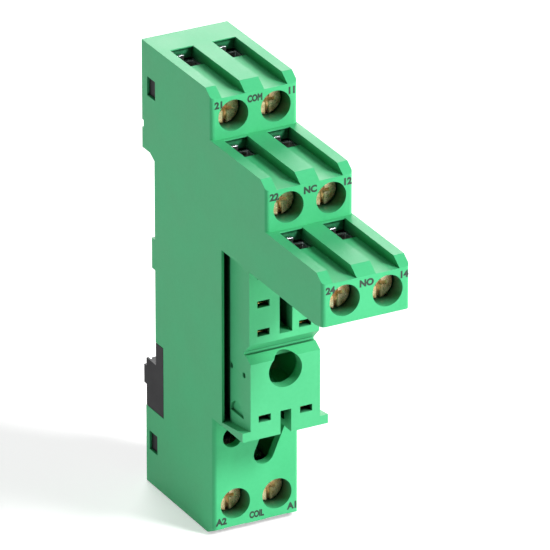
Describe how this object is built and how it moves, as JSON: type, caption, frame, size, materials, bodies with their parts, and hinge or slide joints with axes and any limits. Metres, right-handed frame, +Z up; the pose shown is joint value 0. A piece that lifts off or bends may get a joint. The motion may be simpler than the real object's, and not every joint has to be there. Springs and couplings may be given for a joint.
{
  "type": "relay socket",
  "caption": "DIN rail socket for a plug-in relay: green housing with stepped rows of screw terminals above the relay face and a coil row below, with a sprung rail latch.",
  "frame": {"origin": "Middle of the rail seat: on the plane where the rail's front rests, at the socket's mid-width, level with the rail's centre line.", "axes": "+X to the right seen from the front, along the rail; -Y to the front, where the relay plugs in; +Z up, towards the stepped terminal rows."},
  "size_m": [0.0154, 0.061, 0.0784],
  "materials": {
    "housing": "satin moulded",
    "relay_block": "satin moulded",
    "black_plastic": "satin moulded",
    "screws": "zinc plated, yellow passivated",
    "steel": "zinc plated",
    "contacts": "rolled strip"
  },
  "bodies": {
    "socket": {"housing": "housing", "relay_block": "relay_block", "rear_cover": "black_plastic", "latch_spring": "steel", "contact_upper_left": "contacts", "contact_upper_right": "contacts", "contact_middle_left": "contacts", "contact_middle_right": "contacts", "contact_lower_left": "contacts", "contact_lower_right": "contacts", "contact_coil_left": "contacts", "contact_coil_right": "contacts"},
    "rail_latch": {"rail_latch": "black_plastic"},
    "screw_upper_left": {"screw_upper_left": "screws"},
    "cage_upper_left": {"cage_upper_left": "steel"},
    "screw_upper_right": {"screw_upper_right": "screws"},
    "cage_upper_right": {"cage_upper_right": "steel"},
    "screw_middle_left": {"screw_middle_left": "screws"},
    "cage_middle_left": {"cage_middle_left": "steel"},
    "screw_middle_right": {"screw_middle_right": "screws"},
    "cage_middle_right": {"cage_middle_right": "steel"},
    "screw_lower_left": {"screw_lower_left": "screws"},
    "cage_lower_left": {"cage_lower_left": "steel"},
    "screw_lower_right": {"screw_lower_right": "screws"},
    "cage_lower_right": {"cage_lower_right": "steel"},
    "screw_coil_left": {"screw_coil_left": "screws"},
    "cage_coil_left": {"cage_coil_left": "steel"},
    "screw_coil_right": {"screw_coil_right": "screws"},
    "cage_coil_right": {"cage_coil_right": "steel"}
  },
  "joints": [
    {"name": "latch_slide", "type": "slide", "parent": "socket", "child": "rail_latch", "axis": [0, 0, -1], "range_m": [0, 0.003], "stiffness_N_per_m": 900, "springref_m": -0.002, "deforming": ["latch_spring"]},
    {"name": "screw_turn_upper_left", "type": "hinge", "parent": "socket", "child": "screw_upper_left", "pos_m": [-0.0038, -0.0168, 0.0325], "axis": [0, 1, 0], "range_deg": [0, 2161]},
    {"name": "cage_slide_upper_left", "type": "slide", "parent": "socket", "child": "cage_upper_left", "axis": [0, -1, 0], "range_m": [0, 0.003]},
    {"name": "screw_turn_upper_right", "type": "hinge", "parent": "socket", "child": "screw_upper_right", "pos_m": [0.0038, -0.0168, 0.0325], "axis": [0, 1, 0], "range_deg": [0, 2161]},
    {"name": "cage_slide_upper_right", "type": "slide", "parent": "socket", "child": "cage_upper_right", "axis": [0, -1, 0], "range_m": [0, 0.003]},
    {"name": "screw_turn_middle_left", "type": "hinge", "parent": "socket", "child": "screw_middle_left", "pos_m": [-0.0038, -0.0353, 0.024], "axis": [0, 1, 0], "range_deg": [0, 2161]},
    {"name": "cage_slide_middle_left", "type": "slide", "parent": "socket", "child": "cage_middle_left", "axis": [0, -1, 0], "range_m": [0, 0.003]},
    {"name": "screw_turn_middle_right", "type": "hinge", "parent": "socket", "child": "screw_middle_right", "pos_m": [0.0038, -0.0353, 0.024], "axis": [0, 1, 0], "range_deg": [0, 2161]},
    {"name": "cage_slide_middle_right", "type": "slide", "parent": "socket", "child": "cage_middle_right", "axis": [0, -1, 0], "range_m": [0, 0.003]},
    {"name": "screw_turn_lower_left", "type": "hinge", "parent": "socket", "child": "screw_lower_left", "pos_m": [-0.0038, -0.0538, 0.0155], "axis": [0, 1, 0], "range_deg": [0, 2161]},
    {"name": "cage_slide_lower_left", "type": "slide", "parent": "socket", "child": "cage_lower_left", "axis": [0, -1, 0], "range_m": [0, 0.003]},
    {"name": "screw_turn_lower_right", "type": "hinge", "parent": "socket", "child": "screw_lower_right", "pos_m": [0.0038, -0.0538, 0.0155], "axis": [0, 1, 0], "range_deg": [0, 2161]},
    {"name": "cage_slide_lower_right", "type": "slide", "parent": "socket", "child": "cage_lower_right", "axis": [0, -1, 0], "range_m": [0, 0.003]},
    {"name": "screw_turn_coil_left", "type": "hinge", "parent": "socket", "child": "screw_coil_left", "pos_m": [-0.0038, -0.0172, -0.0359], "axis": [0, 1, 0], "range_deg": [0, 2161]},
    {"name": "cage_slide_coil_left", "type": "slide", "parent": "socket", "child": "cage_coil_left", "axis": [0, -1, 0], "range_m": [0, 0.003]},
    {"name": "screw_turn_coil_right", "type": "hinge", "parent": "socket", "child": "screw_coil_right", "pos_m": [0.0038, -0.0172, -0.0359], "axis": [0, 1, 0], "range_deg": [0, 2161]},
    {"name": "cage_slide_coil_right", "type": "slide", "parent": "socket", "child": "cage_coil_right", "axis": [0, -1, 0], "range_m": [0, 0.003]}
  ],
  "couplings": [
    {"joint": "screw_turn_upper_left", "follows": "cage_slide_upper_left", "rad_per_m": 12566},
    {"joint": "screw_turn_upper_right", "follows": "cage_slide_upper_right", "rad_per_m": 12566},
    {"joint": "screw_turn_middle_left", "follows": "cage_slide_middle_left", "rad_per_m": 12566},
    {"joint": "screw_turn_middle_right", "follows": "cage_slide_middle_right", "rad_per_m": 12566},
    {"joint": "screw_turn_lower_left", "follows": "cage_slide_lower_left", "rad_per_m": 12566},
    {"joint": "screw_turn_lower_right", "follows": "cage_slide_lower_right", "rad_per_m": 12566},
    {"joint": "screw_turn_coil_left", "follows": "cage_slide_coil_left", "rad_per_m": 12566},
    {"joint": "screw_turn_coil_right", "follows": "cage_slide_coil_right", "rad_per_m": 12566}
  ]
}
